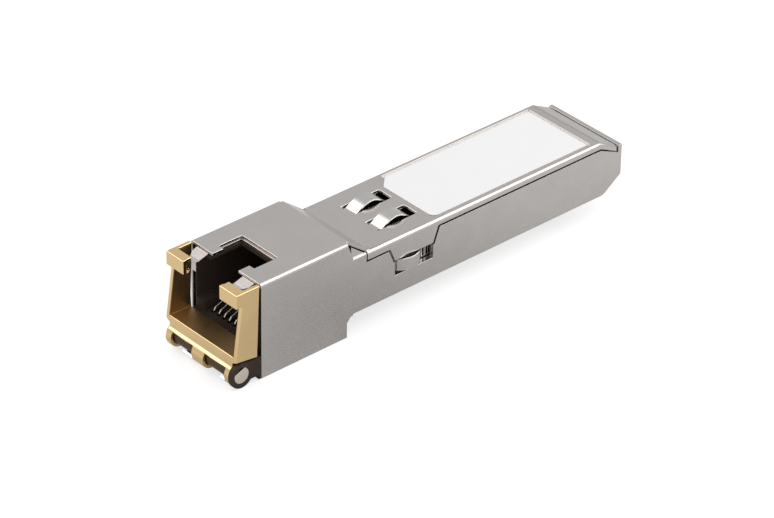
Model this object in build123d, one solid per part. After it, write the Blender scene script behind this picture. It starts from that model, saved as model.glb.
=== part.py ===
from build123d import *
import math
import os

# Pluggable copper network module: a sheet cover, a cast housing, a jack port and a bail latch.
# X is across the module, +Y runs from the port to the edge connector, +Z is up.
# Lengths along Y are written from the front plane of the head, and placed by from_front().

# Head and body
BODY_WIDTH = 13.4
HEAD_STEP = 0.15
HEAD_WIDTH = BODY_WIDTH + 2 * HEAD_STEP
HEAD_HEIGHT = 13.95
HEAD_LENGTH = 14.15
BODY_HEIGHT = 8.5
BODY_LENGTH = 48.1
BELLY_STEP = 2.8
HOOD_OVERHANG = 0.15
RAMP_SETBACK = 0.3
RAMP_LENGTH = 3.5
HOOD_TAIL = 1.0
REAR_SLOPE_LENGTH = 3.9
REAR_SLOPE_DROP = 1.92
REAR_CHAMFER_LENGTH = 3.45
REAR_CHAMFER_HEIGHT = 2.4
BEND_RADIUS = 0.5
SEAM = 0.2
TAIL_GAP = 0.05
SEAT = 0.03

# Cover sheet
SHEET = 0.4
FLANGE_SHEET = 0.4
RAMP_INSET = 0.5
RAMP_SHEET_SHIFT = 0.12
FLANGE_START = HEAD_LENGTH + 3.5
FLANGE_DEPTH = 1.2
FLANGE_REAR_DEPTH = 0.9
TONGUE_START = HEAD_LENGTH + 7.25
TONGUE_LENGTH = 8.2
TONGUE_SLANT = 0.85
TONGUE_DEPTH = 3.2
COVER_REAR_GAP = 0.95
RIM_GAP = 0.3
RIM_DROP = 1.52
RIM_DEPTH = 0.7

# Slots and windows for the ground clip
SLOT_START = HEAD_LENGTH + 7.85
SLOT_LENGTH = 6.6
SLOT_WIDTH = 2.5
SLOT_SPACING = 4.8
WINDOW_START = HEAD_LENGTH + 8.1
WINDOW_LENGTH = 6.5
WINDOW_BOTTOM = 3.1
WINDOW_HEIGHT = 2.5

CLIP_SHEET = 0.2
CLIP_LEDGE_GAP = 0.2
CLIP_SIDE_GAP = 0.15
CLIP_BAR = 0.35
FINGER_WIDTH = 2.1
FINGER_PROUD = 0.8
SIDE_PROUD = 0.5

# Label recess
LABEL_START = HEAD_LENGTH + 15.45
LABEL_LENGTH = 27.2
LABEL_WIDTH = BODY_WIDTH - 2.2
LABEL_CORNER = 1.0
LABEL_CHAMFER = 1.7
LABEL_THICKNESS = 0.1
RECESS_DEPTH = 0.2
RECESS_GAP = 0.3

# Latch window in the top of the head
NOTCH_WIDTH = 5.0
NOTCH_LENGTH = 1.8
CUTOUT_WIDTH = 6.8
CUTOUT_END = 5.55

# Cast housing
SIDE_WALL = 0.8
FLOOR = 0.6
RAIL_INNER = BODY_WIDTH / 2 - 1.4
DECK_THICKNESS = 0.5
STEP_WALL = 0.7
BELLY_OPENING = 11.0
BOARD_LEDGE = 0.9
GUSSET_LEDGE = 0.35
GUSSET_LEAN = 0.25
GUSSET_GAP = 0.2

# Circuit board
BOARD_HEIGHT = 2.25
BOARD_THICKNESS = 1.0
BOARD_WIDTH = BODY_WIDTH - 2.5
BOARD_TONGUE_WIDTH = 9.2
BOARD_TONGUE_LENGTH = 7.6
BOARD_SETBACK = 3.8
BOARD_START = HEAD_LENGTH + 0.85
PAD_PITCH = 0.8
PAD_COUNT = 10
PAD_WIDTH = 0.56
PAD_LENGTH = 3.0
PAD_THICKNESS = 0.05
PAD_SETBACK = 0.4

# Jack
PORT_WALL = 0.27
PORT_ROOF = 0.6
PORT_LEDGE = 5.9
PORT_FLOOR = 4.4
PORT_NOTCH_WIDTH = 6.2
PORT_BACK_WALL = 2.0
JACK_BACK = HEAD_LENGTH - 0.65
SHIELD_SHEET = 0.25
SHIELD_FRONT = 0.9
SHIELD_CUTOUT = 6.6
JACK_GAP = 0.05
TAB_INNER = 3.35
TAB_OUTER = 5.55
TAB_TIP = 4.65
TAB_REACH = 2.0
TAB_STEP = 0.42
TAB_STEP_LENGTH = 1.4
TAB_BEND = 1.3
TAB_LIP_WIDTH = 0.8
CONTACT_PITCH = 1.02
CONTACT_COUNT = 8
CONTACT_RADIUS = 0.17
CONTACT_SLOT = 0.55
CONTACT_FRONT = 1.05
CONTACT_RISE = 2.7
CONTACT_RUN = 6.6
CONTACT_TRENCH = 3.9
CONTACT_TIP_HEIGHT = 4.75
CONTACT_TAIL = 1.6
CONTACT_BEND = 0.75
CARRIER_MARGIN = 1.04
CARRIER_GAP = 0.15
CARRIER_HEIGHT = 0.9
JACK_FRONT = 0.15
LIP_LENGTH = 0.6
BEZEL = 0.4
BEZEL_HEIGHT = 3.4
FORK_WINDOW = 0.8

# Bail hinge
PIN_FORWARD = 3.1
PIN_HEIGHT = 1.85
PIN_RADIUS = 1.15
PIN_CLEARANCE = 0.05
PIN_FLAT = 0.4
PIN_FLAT_ANGLE = 22
LUG_RADIUS = 1.8
LUG_WIDTH = 0.62
LUG_LINK_DROP = 1.1
FAR_LUG_RADIUS = 1.3
FAR_LUG_WIDTH = 0.28
KNUCKLE_WALL = 0.5
NEAR_KNUCKLE_GAP = (1.15, 5.3)
FAR_KNUCKLE_GAP = (-5.15, -1.1)
KNUCKLE_SIDE_GAP = 0.08
KNUCKLE_SLOT_TOP = 0.95

# Bail
BAIL_SHEET = 0.6
BAIL_TOP = HEAD_HEIGHT - 0.05
BAIL_REAR_GAP = 0.2
BAIL_FLOOR_TOP = 4.65
HOOK_FRONT = 3.9
HOOK_DROP = 2.0
HOOK_INNER = 3.5
HOOK_FLANGE = 1.5
ARM_FRONT_TOP = 3.05
ARM_FRONT_BOTTOM = 4.1
ARM_REAR_BOTTOM = 0.6
ARM_REAR_DROP = 0.45
WEB_TAPER = 0.35
DIMPLE_RADIUS = 0.35
DIMPLE_SETBACK = 0.9
DIMPLE_DROP = 4.0

# Latch rocker
ROCKER_SHEET = 0.4
ROCKER_BOTTOM = 0.14
ROCKER_PLAY = 0.2
NEAR_PRONG = (4.1, 5.1)
FAR_PRONG = (-3.3, -1.15)
FORK_ROOT = 1.4
FORK_CURL_STEPS = 4
FORK_TIP_ANGLE = 55
ROCKER_PIVOT = HEAD_LENGTH - 6.15
ROCKER_PIVOT_HEIGHT = 1.5
ROCKER_PIN_RADIUS = 0.5
ROCKER_PIN_CLEARANCE = 0.04
ROCKER_NECK = HEAD_LENGTH - 3.95
ROCKER_TAIL_WIDTH = 4.0
ROCKER_TAIL_END = 5.6
ROCKER_SIDE_GAP = 0.3
EAR_LENGTH = 2.0
EAR_ABOVE = 0.85
LATCH_DISTANCE = 45.0
BOSS_WIDTH = 2.6
BOSS_HEIGHT = 0.45
BOSS_LENGTH = 2.4
SPRING_POSITION = HEAD_LENGTH - 2.85
SPRING_RADIUS = 0.8
SPRING_WIRE = 0.2
SPRING_TURNS = 3
SPRING_CUP = 0.25

# Parts on the board
CHIP_SIDE = 9.0
CHIP_HEIGHT = 1.1
CHIP_START = HEAD_LENGTH + 18.85
MEMORY_SIZE = (4.4, 3.0, 1.0)
MEMORY_OFFSET = 2.9
MEMORY_MIDDLE = HEAD_LENGTH + 30.85
CRYSTAL_SIZE = (2.5, 3.2, 0.8)
CRYSTAL_OFFSET = 3.2
CRYSTAL_MIDDLE = HEAD_LENGTH + 30.25
INDUCTOR_SIZE = (4.0, 4.0, 2.0)
INDUCTOR_OFFSET = 2.6
INDUCTOR_MIDDLE = HEAD_LENGTH + 34.65
REGULATOR_SIZE = (3.0, 3.0, 0.9)
REGULATOR_OFFSET = 2.6
REGULATOR_MIDDLE = HEAD_LENGTH + 35.05
CAPACITOR_SIZE = (0.6, 1.1, 0.6)
CAPACITOR_ROW = 4
CAPACITOR_OFFSET = CHIP_SIDE / 2 + 0.4
CAPACITOR_START = HEAD_LENGTH + 19.85
CAPACITOR_STEP = 2.2
MAGNETICS_GAP = 0.5
MAGNETICS_WIDTH = (BODY_WIDTH - MAGNETICS_GAP - 2.9) / 2
MAGNETICS_LENGTH = 11.5
MAGNETICS_HEIGHT = 3.2
MAGNETICS_START = HEAD_LENGTH + 3.45

# Derived places
HEAD_HALF = HEAD_WIDTH / 2
BODY_HALF = BODY_WIDTH / 2
BODY_TOP = BELLY_STEP + BODY_HEIGHT
REAR = HEAD_LENGTH + BODY_LENGTH
HOOD_INNER = HEAD_HALF - SHEET
HOOD_END = HEAD_LENGTH + HOOD_TAIL
HOOD_BACK = HEAD_LENGTH + HOOD_OVERHANG
RAMP_START = HOOD_BACK + RAMP_SETBACK
RAMP_END = RAMP_START + RAMP_LENGTH
RAMP_DROP = HEAD_HEIGHT - BODY_TOP
REACH = PIN_FORWARD + LUG_RADIUS
OVERALL_LENGTH = REACH + REAR
COVER_REAR = REAR - COVER_REAR_GAP
RIM_START = COVER_REAR + RIM_GAP
RIM_TOP = BODY_TOP - RIM_DROP
TONGUE_END = TONGUE_START + TONGUE_LENGTH
BOARD_BOTTOM = BELLY_STEP + BOARD_HEIGHT
BOARD_TOP = BOARD_BOTTOM + BOARD_THICKNESS
BOARD_END = REAR - BOARD_SETBACK
HOUSING_HALF = HOOD_INNER - SEAT
CAVITY_HALF = BODY_HALF - SIDE_WALL
DECK_TOP = BELLY_STEP + DECK_THICKNESS
JACK_HALF = HOOD_INNER - SEAT - SHIELD_SHEET - JACK_GAP
SHIELD_TOP = HEAD_HEIGHT - SHEET - SEAT
JACK_TOP = SHIELD_TOP - SHIELD_SHEET - JACK_GAP
JACK_BOTTOM = DECK_TOP + SEAT
PORT_HALF = JACK_HALF - PORT_WALL
PORT_TOP = JACK_TOP - PORT_ROOF
PORT_DEPTH = JACK_BACK - PORT_BACK_WALL
CARRIER_WIDTH = CONTACT_PITCH * CONTACT_COUNT + CARRIER_MARGIN
KNUCKLE_RADIUS = PIN_RADIUS + PIN_CLEARANCE + KNUCKLE_WALL
LUG_INNER = HEAD_HALF - LUG_WIDTH
BOSS_FACE = REAR - LATCH_DISTANCE
ROCKER_HALF = RAIL_INNER - ROCKER_PLAY
ROCKER_TOP = ROCKER_BOTTOM + ROCKER_SHEET
ROCKER_MIDDLE = ROCKER_BOTTOM + ROCKER_SHEET / 2
CLIP_TOP = BODY_TOP - SHEET - SEAT
CLIP_SIDE_BOTTOM = BOARD_BOTTOM + CLIP_LEDGE_GAP


def from_front(y):
    """Turn a length measured from the head's front plane into the module's own Y."""
    return y + REACH - OVERALL_LENGTH / 2


def block(x0, x1, y0, y1, z0, z1):
    """A box between two corners, with Y measured from the head's front plane."""
    centre = ((x0 + x1) / 2, from_front((y0 + y1) / 2), (z0 + z1) / 2)
    return Pos(*centre) * Box(x1 - x0, y1 - y0, z1 - z0)


def across(half, y0, y1, z0, z1):
    """A box centred on the module's middle plane."""
    return block(-half, half, y0, y1, z0, z1)


def side_plate(points, x0, x1):
    """A (y, z) outline given thickness from x0 to x1."""
    corners = [Vector(x0, from_front(y), z) for y, z in points]
    return extrude(make_face(Polyline(*corners, close=True)), amount=x1 - x0, dir=(1, 0, 0))


def flat_plate(points, z0, z1):
    """An (x, y) outline given thickness from z0 to z1."""
    corners = [Vector(x, from_front(y), z0) for x, y in points]
    return extrude(make_face(Polyline(*corners, close=True)), amount=z1 - z0, dir=(0, 0, 1))


def front_plate(points, y0, y1):
    """An (x, z) outline given thickness from y0 to y1."""
    corners = [Vector(x, from_front(y0), z) for x, z in points]
    return extrude(make_face(Polyline(*corners, close=True)), amount=y1 - y0, dir=(0, 1, 0))


def rod(y, z, radius, x0, x1):
    """A cylinder across the module."""
    centre = ((x0 + x1) / 2, from_front(y), z)
    return Pos(*centre) * Rot(0, 90, 0) * Cylinder(radius, x1 - x0)


def mirrored(part):
    """A piece and its copy on the other side of the middle plane."""
    return part + mirror(part, about=Plane.YZ)


def side_strip(points, radius, thickness, x0, x1):
    """A strip of sheet bent along a (y, z) route, with width from x0 to x1."""
    route = [Vector(x0, from_front(y), z) for y, z in points]
    face = thick_route(route, radius, thickness, Plane.YZ)
    return extrude(face, amount=x1 - x0, dir=(1, 0, 0))


def level_strip(points, radius, thickness, z0, z1):
    """A strip of sheet bent along an (x, y) route, with height from z0 to z1."""
    route = [Vector(x, from_front(y), z0) for x, y in points]
    face = thick_route(route, radius, thickness, Plane.XY)
    return extrude(face, amount=z1 - z0, dir=(0, 0, 1))


def thick_route(route, radius, thickness, plane):
    """The outline of a bent sheet's edge: its middle line offset to both sides."""
    normal = plane.z_dir
    left = []
    right = []
    last = len(route) - 1
    for i, point in enumerate(route):
        before = route[max(i - 1, 0)]
        after = route[min(i + 1, last)]
        first = (point - before).normalized() if i > 0 else (after - point).normalized()
        second = (after - point).normalized() if i < last else first
        middle = (first + second).normalized()
        side = normal.cross(middle)
        reach = thickness / 2 / max(side.dot(normal.cross(first)), 0.3)
        left.append(point + side * reach)
        right.append(point - side * reach)
    outline = Polyline(*(left + right[::-1]), close=True)
    face = make_face(outline)
    if radius <= 0:
        return face
    inner = left[1:-1] + right[1:-1]
    bends = [v for v in face.vertices() if any((Vector(v) - p).length < 0.001 for p in inner)]
    return fillet(bends, radius)


def edges_along_top(part, half, lowest):
    """The edges of a prism that run along its top at x = half and x = -half."""
    found = []
    for edge in part.edges():
        middle = edge.center()
        on_side = abs(abs(middle.X) - half) < 0.001
        along = abs((edge @ 0).X - (edge @ 1).X) < 0.001
        high = min((edge @ 0).Z, (edge @ 1).Z) > lowest
        slanted = abs((edge @ 0).Y - (edge @ 1).Y) > 0.5
        if on_side and along and high and slanted:
            found.append(edge)
    return found


def ramp_height(y):
    """Height of the cover's outer face on the ramp."""
    return HEAD_HEIGHT - (y - RAMP_START) * RAMP_DROP / RAMP_LENGTH


def ramp_underside(y):
    """Height of the cover's inner face on the ramp."""
    return ramp_height(y + RAMP_SHEET_SHIFT) - SHEET


def slope_height(y):
    """Height of the cover's outer face at the rear slope."""
    start = REAR - REAR_SLOPE_LENGTH
    return BODY_TOP - max(y - start, 0) * REAR_SLOPE_DROP / REAR_SLOPE_LENGTH


def make_hood():
    """Top and sides of the head, bent from the cover sheet."""
    outer = across(HEAD_HALF, 0, HOOD_BACK, 0, HEAD_HEIGHT)
    outer = fillet(edges_along_top(outer, HEAD_HALF, HEAD_HEIGHT - 0.01), BEND_RADIUS)
    hollow = across(HOOD_INNER, -1, HOOD_BACK + 1, -1, HEAD_HEIGHT - SHEET)
    tail_low = BELLY_STEP + 0.1
    tail = side_plate([
        (HOOD_BACK, tail_low - 0.6),
        (HEAD_LENGTH + 0.6, tail_low),
        (HOOD_END, tail_low),
        (HOOD_END, BODY_TOP),
        (HOOD_BACK, HEAD_HEIGHT - SHEET - TAIL_GAP),
    ], HOOD_INNER, HEAD_HALF)
    back_edge = across(HEAD_HALF + 1, HEAD_LENGTH, HOOD_BACK + 1, -1, tail_low - 0.6)
    notch = across(NOTCH_WIDTH / 2, -1, NOTCH_LENGTH + 0.1, HEAD_HEIGHT - SHEET - 1, HEAD_HEIGHT + 1)
    cutout = across(CUTOUT_WIDTH / 2, NOTCH_LENGTH, CUTOUT_END, HEAD_HEIGHT - SHEET - 1, HEAD_HEIGHT + 1)
    return outer - hollow - back_edge - notch - cutout + mirrored(tail)


def make_ramp():
    """Sloping part of the cover between the head and the body."""
    half_top = HEAD_HALF - RAMP_INSET
    half_low = BODY_HALF - BEND_RADIUS + SEAT
    outline = side_plate([
        (HOOD_BACK - 0.3, HEAD_HEIGHT),
        (RAMP_START, HEAD_HEIGHT),
        (RAMP_END, BODY_TOP),
        (RAMP_END + 0.3, BODY_TOP),
        (RAMP_END + 0.3, BODY_TOP - SHEET),
        (RAMP_END - RAMP_SHEET_SHIFT, BODY_TOP - SHEET),
        (RAMP_START - RAMP_SHEET_SHIFT, HEAD_HEIGHT - SHEET),
        (HOOD_BACK - 0.3, HEAD_HEIGHT - SHEET),
    ], -BODY_HALF, BODY_HALF)
    width = flat_plate([
        (-half_top, HOOD_BACK - 0.3),
        (half_top, HOOD_BACK - 0.3),
        (half_low, RAMP_END + 0.3),
        (-half_low, RAMP_END + 0.3),
    ], 0, HEAD_HEIGHT + 1)
    return outline & width


def flange_outline(gap):
    """Side outline of the body cover, from its top edge down to the flange, grown by a gap."""
    low = BODY_TOP - FLANGE_DEPTH - gap
    tongue = BODY_TOP - TONGUE_DEPTH - gap
    rear_low = BODY_TOP - FLANGE_REAR_DEPTH - gap
    slope_start = REAR - REAR_SLOPE_LENGTH
    rear = RIM_START if gap > 0 else COVER_REAR
    top = HEAD_HEIGHT
    return [
        (FLANGE_START - gap, top),
        (FLANGE_START - gap, low),
        (TONGUE_START - gap, low),
        (TONGUE_START + TONGUE_SLANT - gap, tongue),
        (TONGUE_END - TONGUE_SLANT + gap, tongue),
        (TONGUE_END + gap, rear_low),
        (slope_start, rear_low),
        (rear, slope_height(COVER_REAR) - FLANGE_REAR_DEPTH - gap),
        (rear, top),
    ]


def make_body_cover():
    """Flat top of the body with its side flanges, window tongues and rear slope."""
    slope_start = REAR - REAR_SLOPE_LENGTH
    outer = side_plate([
        (FLANGE_START, 0),
        (FLANGE_START, BODY_TOP),
        (slope_start, BODY_TOP),
        (COVER_REAR, slope_height(COVER_REAR)),
        (COVER_REAR, 0),
    ], -BODY_HALF, BODY_HALF)
    outer = fillet(edges_along_top(outer, BODY_HALF, BODY_TOP - REAR_SLOPE_DROP - 0.01), BEND_RADIUS)
    inner_half = BODY_HALF - FLANGE_SHEET
    hollow = side_plate([
        (FLANGE_START - 1, -1),
        (FLANGE_START - 1, BODY_TOP - SHEET),
        (slope_start, BODY_TOP - SHEET),
        (COVER_REAR + 1, slope_height(COVER_REAR + 1) - SHEET),
        (COVER_REAR + 1, -1),
    ], -inner_half, inner_half)
    kept = side_plate(flange_outline(0), -BODY_HALF - 1, BODY_HALF + 1)
    return (outer - hollow) & kept


def label_outline(gap):
    """Outline of the label, with rounded corners and one cut corner, grown by a gap."""
    half = LABEL_WIDTH / 2 + gap
    start = LABEL_START - gap
    end = LABEL_START + LABEL_LENGTH + gap
    cut = LABEL_CHAMFER
    corners = [
        Vector(-half + cut, from_front(start), 0),
        Vector(half, from_front(start), 0),
        Vector(half, from_front(end), 0),
        Vector(-half, from_front(end), 0),
        Vector(-half, from_front(start + cut), 0),
    ]
    face = make_face(Polyline(*corners, close=True))
    rounded = [v for v in face.vertices() if v.X > 0 and v.Y < from_front((start + end) / 2)]
    return fillet(rounded, LABEL_CORNER)


def make_top_cover():
    cover = make_hood() + make_ramp() + make_body_cover()
    for side in (-1, 1):
        middle = side * SLOT_SPACING / 2
        half = SLOT_WIDTH / 2
        slot_end = SLOT_START + SLOT_LENGTH
        cover -= block(middle - half, middle + half, SLOT_START, slot_end, BODY_TOP - 1, BODY_TOP + 1)
    recess = extrude(Pos(0, 0, BODY_TOP - RECESS_DEPTH) * label_outline(RECESS_GAP), amount=1)
    return cover - recess


def make_label():
    return extrude(Pos(0, 0, BODY_TOP - RECESS_DEPTH) * label_outline(0), amount=LABEL_THICKNESS)


def make_head_frame():
    """Rails, deck and step wall of the housing inside the head, around the rocker's channel."""
    outer = across(HOUSING_HALF, 0.4, HEAD_LENGTH, 0, DECK_TOP)
    channel = across(RAIL_INNER, -1, HEAD_LENGTH - STEP_WALL, -1, BELLY_STEP)
    slot_half = ROCKER_TAIL_WIDTH / 2 + ROCKER_SIDE_GAP
    slot = across(slot_half, HEAD_LENGTH - 2, HEAD_LENGTH + 1, -1, BELLY_STEP + 0.9)
    bore = rod(ROCKER_PIVOT, ROCKER_PIVOT_HEIGHT, ROCKER_PIN_RADIUS + SEAT, -HEAD_HALF, HEAD_HALF)
    spring_cup = cylinder_up(0, SPRING_POSITION, BELLY_STEP - 0.1, BELLY_STEP + SPRING_CUP,
                             SPRING_RADIUS + SPRING_WIRE)
    return outer - channel - slot - bore - spring_cup


def cylinder_up(x, y, z0, z1, radius):
    """A cylinder that stands along Z between two heights."""
    return Pos(x, from_front(y), (z0 + z1) / 2) * Cylinder(radius, z1 - z0)


def make_tub():
    """Body of the housing: floor, side walls, rear skirts and the gussets under the ramp."""
    slope_start = REAR - REAR_SLOPE_LENGTH
    wall_outline = [
        (HEAD_LENGTH, BELLY_STEP),
        (REAR - REAR_CHAMFER_LENGTH, BELLY_STEP),
        (REAR, BELLY_STEP + REAR_CHAMFER_HEIGHT),
        (REAR, RIM_TOP),
        (RIM_START, RIM_TOP),
        (slope_start, BODY_TOP),
        (HEAD_LENGTH, BODY_TOP),
    ]
    tub = side_plate(wall_outline, -BODY_HALF, BODY_HALF)
    tub = fillet(bottom_edges(tub), BEND_RADIUS)
    cavity = across(CAVITY_HALF, HEAD_LENGTH - 1, REAR + 1, BELLY_STEP + FLOOR, BODY_TOP + 1)
    narrow = BODY_HALF - HOUSING_HALF
    for side in (-1, 1):
        inner = side * HOUSING_HALF
        outer = side * (HOUSING_HALF + narrow + 1)
        tub -= block(min(inner, outer), max(inner, outer), HEAD_LENGTH - 1, HOOD_END + TAIL_GAP, 0, HEAD_HEIGHT)
    belly_start = REAR - BELLY_OPENING
    skirt_half = CAVITY_HALF
    belly = across(skirt_half, belly_start, REAR + 1, BELLY_STEP - 1, BODY_TOP)
    rim = across(CAVITY_HALF + 0.1, RIM_START, REAR, RIM_TOP - RIM_DEPTH, RIM_TOP)
    return tub - cavity - belly + rim


def bottom_edges(part):
    """The two long edges along the belly."""
    found = []
    for edge in part.edges():
        middle = edge.center()
        on_side = abs(abs(middle.X) - BODY_HALF) < 0.001
        low = abs(middle.Z - BELLY_STEP) < 0.001
        if on_side and low:
            found.append(edge)
    return found


def make_gusset():
    """Leaning wall that closes the side of the ramp, behind a rounded ledge on top of the body's wall."""
    start = HOOD_END + TAIL_GAP
    end = FLANGE_START - SEAM
    low = BODY_TOP - FLANGE_DEPTH
    ledge = block(BODY_HALF - GUSSET_LEDGE - TAIL_GAP, BODY_HALF, start, end, low, BODY_TOP)
    ledge = fillet(edges_along_top(ledge, BODY_HALF, BODY_TOP - 0.01), GUSSET_LEDGE)
    outline = side_plate([
        (start, low),
        (end, low),
        (end, ramp_underside(end) - GUSSET_GAP),
        (start, ramp_underside(start) - GUSSET_GAP),
    ], 0, BODY_HALF)
    outer = BODY_HALF - GUSSET_LEDGE
    lean = front_plate([
        (CAVITY_HALF - GUSSET_LEAN, low),
        (outer, low),
        (outer, BODY_TOP),
        (outer - GUSSET_LEAN, HEAD_HEIGHT),
        (CAVITY_HALF - GUSSET_LEAN, HEAD_HEIGHT),
    ], start - 1, FLANGE_START + 1)
    return ledge + (outline & lean)


def make_lower_housing():
    housing = make_tub() + make_head_frame()
    top_cut = side_plate([
        (HEAD_LENGTH - 1, BODY_TOP - SHEET - SEAT),
        (REAR - REAR_SLOPE_LENGTH, BODY_TOP - SHEET - SEAT),
        (RIM_START, slope_height(RIM_START) - SHEET - SEAT),
        (RIM_START, HEAD_HEIGHT + 1),
        (HEAD_LENGTH - 1, HEAD_HEIGHT + 1),
    ], -BODY_HALF - 1, BODY_HALF + 1)
    housing -= top_cut
    housing += mirrored(make_gusset())
    rebate = side_plate(flange_outline(SEAM), BODY_HALF - FLANGE_SHEET - SEAT, BODY_HALF + 1)
    window = block(0, BODY_HALF + 1, WINDOW_START, WINDOW_START + WINDOW_LENGTH,
                   BELLY_STEP + WINDOW_BOTTOM, BELLY_STEP + WINDOW_BOTTOM + WINDOW_HEIGHT)
    housing -= mirrored(rebate)
    housing -= mirrored(window)
    pocket_half = ROCKER_TAIL_WIDTH / 2 + ROCKER_SIDE_GAP
    pocket_end = HEAD_LENGTH + ROCKER_TAIL_END + ROCKER_SIDE_GAP
    housing -= across(pocket_half, HEAD_LENGTH - 1, pocket_end, BELLY_STEP - 1, BELLY_STEP + FLOOR + 1)
    ledge = block(CAVITY_HALF - BOARD_LEDGE, CAVITY_HALF + 0.1, HOOD_END + 1, REAR - BELLY_OPENING,
                  BELLY_STEP + FLOOR - 0.1, BOARD_BOTTOM)
    return housing + mirrored(ledge)


def make_ground_clip():
    """Spring clip under the cover: bowed fingers rise through the slots and the side windows."""
    start = SLOT_START - 1.4
    end = SLOT_START + SLOT_LENGTH + 1.2
    half = CAVITY_HALF - CLIP_SIDE_GAP
    sheet = CLIP_SHEET
    plate = across(half, start, end, CLIP_TOP - sheet, CLIP_TOP)
    walls = across(half, start, end, CLIP_SIDE_BOTTOM, CLIP_TOP)
    walls -= across(half - sheet, start - 1, end + 1, 0, CLIP_TOP)
    clip = plate + walls
    for side in (-1, 1):
        middle = side * SLOT_SPACING / 2
        clip -= block(middle - SLOT_WIDTH / 2, middle + SLOT_WIDTH / 2, SLOT_START - 0.3,
                      SLOT_START + SLOT_LENGTH + 0.3, CLIP_TOP - 1, CLIP_TOP + 1)
    crest = BODY_TOP + FINGER_PROUD - sheet / 2
    level = CLIP_TOP - sheet / 2
    first = SLOT_START + 0.35
    run = SLOT_LENGTH - 0.75
    bow = [(0.09, 0.17), (0.2, 0.52), (0.31, 0.8), (0.42, 0.95), (0.52, 1.0), (0.62, 0.93), (0.73, 0.7),
           (0.85, 0.33), (0.93, 0.0), (1.0, -0.35)]
    route = [(SLOT_START - 0.6, level), (first, level)]
    for along, up in bow:
        route.append((first + run * along, level + (crest - level) * up))
    for side in (-1, 1):
        middle = side * SLOT_SPACING / 2
        clip += side_strip(route, 0, sheet, middle - FINGER_WIDTH / 2, middle + FINGER_WIDTH / 2)
    return clip - mirrored(make_clip_holes(half)) + mirrored(make_side_finger(half))


def make_clip_holes(half):
    """Holes in the clip's wall behind one side window: one for the finger, two slots behind its end."""
    low = BELLY_STEP + WINDOW_BOTTOM + 0.2
    high = BELLY_STEP + WINDOW_BOTTOM + WINDOW_HEIGHT + 0.4
    finger_end = WINDOW_START + WINDOW_LENGTH * 0.78
    holes = block(half - CLIP_SHEET - 1, half + 1, WINDOW_START, finger_end, low, high)
    for i in range(2):
        start = finger_end + CLIP_BAR + i * (CLIP_BAR + 0.3)
        holes += block(half - CLIP_SHEET - 1, half + 1, start, start + 0.3, low, high)
    return holes


def make_side_finger(half):
    """Bowed finger of one side window."""
    window_low = BELLY_STEP + WINDOW_BOTTOM
    bow = [(0.04, 0.0), (0.09, 0.7), (0.2, 1.1), (0.34, 1.3), (0.46, 1.3), (0.6, 1.05), (0.7, 0.6), (0.76, 0.2)]
    inside = half - CLIP_SHEET / 2
    step = BODY_HALF + SIDE_PROUD - inside
    route = [(inside, WINDOW_START - 0.6)]
    for along, out in bow:
        route.append((inside + step * out / 1.3, WINDOW_START + WINDOW_LENGTH * along))
    return level_strip(route, 0, CLIP_SHEET, window_low + 0.4, window_low + 2.1)


def make_jack_housing():
    """Black moulding: the port, its latch notch, the contact slots and the lugs of the bail's pin."""
    body = across(JACK_HALF, JACK_FRONT, JACK_BACK, JACK_BOTTOM, JACK_TOP)
    port = across(PORT_HALF, -1, PORT_DEPTH, PORT_LEDGE, PORT_TOP)
    trench_half = CONTACT_PITCH * CONTACT_COUNT / 2 + 0.25
    trench = across(trench_half, -1, PORT_DEPTH, PORT_FLOOR, PORT_LEDGE + 0.1)
    notch = across(PORT_NOTCH_WIDTH / 2, -1, CUTOUT_END - 0.3, PORT_TOP - 0.1, JACK_TOP + 1)
    body = body - port - trench - notch
    lip_back = JACK_FRONT + LIP_LENGTH
    for x in contact_places():
        slot_low = CONTACT_TRENCH - CONTACT_RADIUS - JACK_GAP
        body -= block(x - CONTACT_SLOT / 2, x + CONTACT_SLOT / 2, lip_back, JACK_BACK + 1,
                      slot_low, PORT_FLOOR + 0.1)
    return body + make_bezel()


def make_bezel():
    """Lower bar in front of the housing, with the two lugs that carry the pin."""
    far_half = LUG_INNER + FAR_LUG_WIDTH
    bar = block(-far_half, HEAD_HALF, -BEZEL, -SEAT, PIN_HEIGHT - LUG_RADIUS + 0.05, BEZEL_HEIGHT)
    bar -= across(ROCKER_HALF + KNUCKLE_SIDE_GAP * 3, -BEZEL - 1, 1, -1, FORK_WINDOW)
    lip = across(JACK_HALF, -BEZEL, JACK_FRONT + LIP_LENGTH, JACK_BOTTOM, PORT_FLOOR)
    near = make_lug(LUG_RADIUS, LUG_INNER, HEAD_HALF)
    far = make_lug(FAR_LUG_RADIUS, -far_half, -LUG_INNER)
    return bar + lip + near + far


def make_lug(radius, x0, x1):
    """One lug of the pin, linked back to the bar."""
    lug = rod(-PIN_FORWARD, PIN_HEIGHT, radius, x0, x1)
    lug += block(x0, x1, -PIN_FORWARD, -SEAT, PIN_HEIGHT - LUG_LINK_DROP, PIN_HEIGHT + radius * 0.85)
    return lug - rod(-PIN_FORWARD, PIN_HEIGHT, PIN_RADIUS + SEAT, x0 - 1, x1 + 1)


def contact_places():
    """X of each contact, from the far side to the near side."""
    first = -CONTACT_PITCH * (CONTACT_COUNT - 1) / 2
    return [first + i * CONTACT_PITCH for i in range(CONTACT_COUNT)]


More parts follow.
